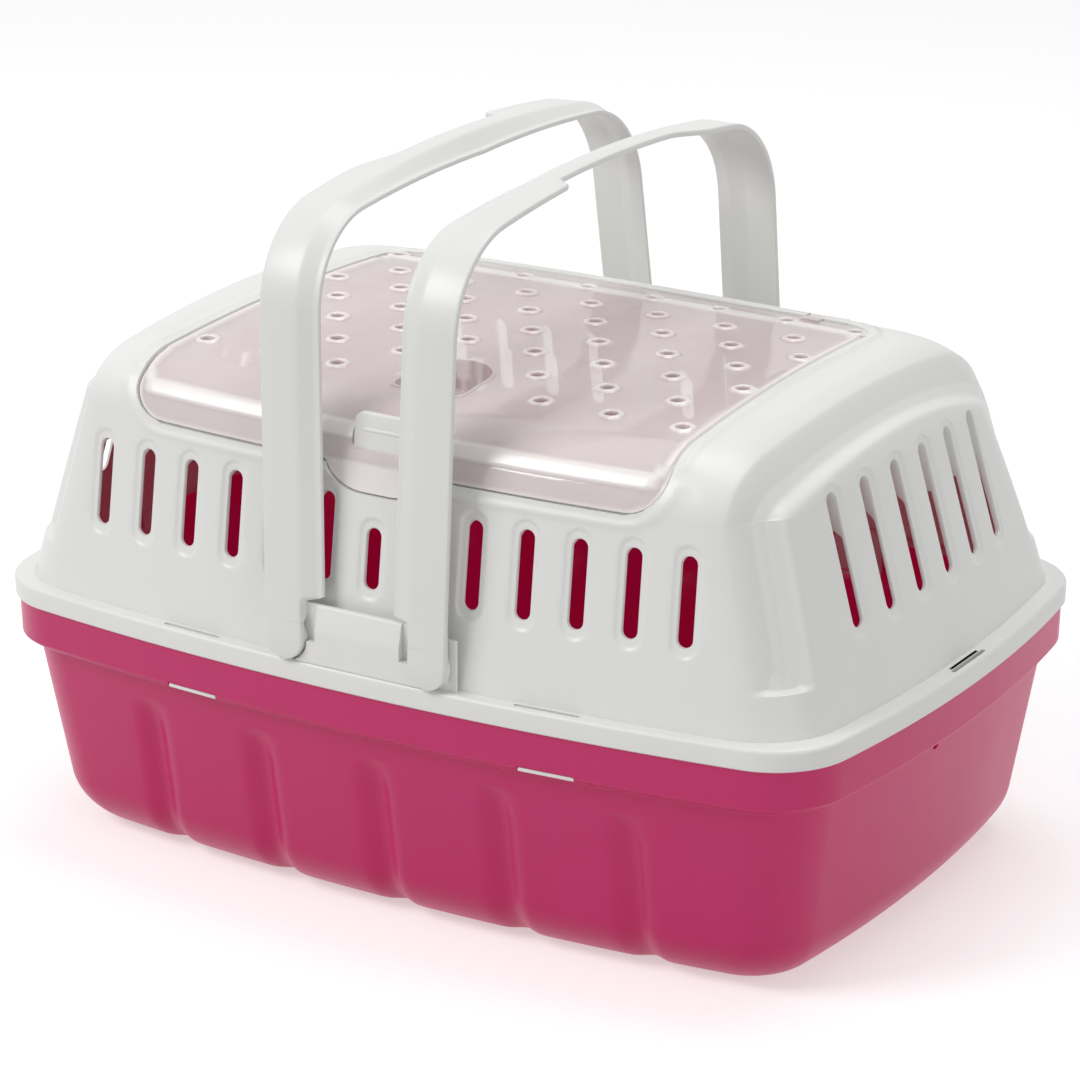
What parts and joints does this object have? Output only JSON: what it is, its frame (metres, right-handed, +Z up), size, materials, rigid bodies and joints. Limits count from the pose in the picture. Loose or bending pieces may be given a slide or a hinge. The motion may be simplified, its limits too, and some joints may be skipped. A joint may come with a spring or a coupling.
{
  "type": "pet carrier",
  "caption": "Small-animal carrier: moulded tub, vented upper shell, clear hinged lid with air holes and a latch tab, and folding twin carrying handles.",
  "frame": {"origin": "on the underside of the tub, under the middle of the carrier", "axes": "+X along the long side, -Y towards the latch, +Y towards the lid's hinge, +Z up"},
  "size_m": [0.4, 0.2772, 0.2937],
  "materials": {
    "tub_plastic": "satin moulded plastic, fine grain",
    "shell_plastic": "satin moulded plastic, fine grain",
    "lid_plastic": "clear polished plastic"
  },
  "bodies": {
    "carrier": {"base_tub": "tub_plastic", "upper_shell": "shell_plastic", "lid_hinge_ears": "shell_plastic", "handle_seat_front": "shell_plastic", "handle_seat_back": "shell_plastic", "latch_tongue": "shell_plastic"},
    "lid": {"clear_lid": "lid_plastic"},
    "left_handle": {"handle_left": "shell_plastic"},
    "right_handle": {"handle_right": "shell_plastic"}
  },
  "joints": [
    {"name": "lid_hinge", "type": "hinge", "parent": "carrier", "child": "lid", "pos_m": [0, 0.08371, 0.21163], "axis": [-1, 0, 0], "range_deg": [0, 18]},
    {"name": "left_handle_pivot", "type": "hinge", "parent": "carrier", "child": "left_handle", "pos_m": [-0.033, 0, 0.121], "axis": [0, -1, 0], "range_deg": [-8.4, 76.6]},
    {"name": "right_handle_pivot", "type": "hinge", "parent": "carrier", "child": "right_handle", "pos_m": [0.033, 0, 0.121], "axis": [0, 1, 0], "range_deg": [-4.3, 80.7]}
  ]
}
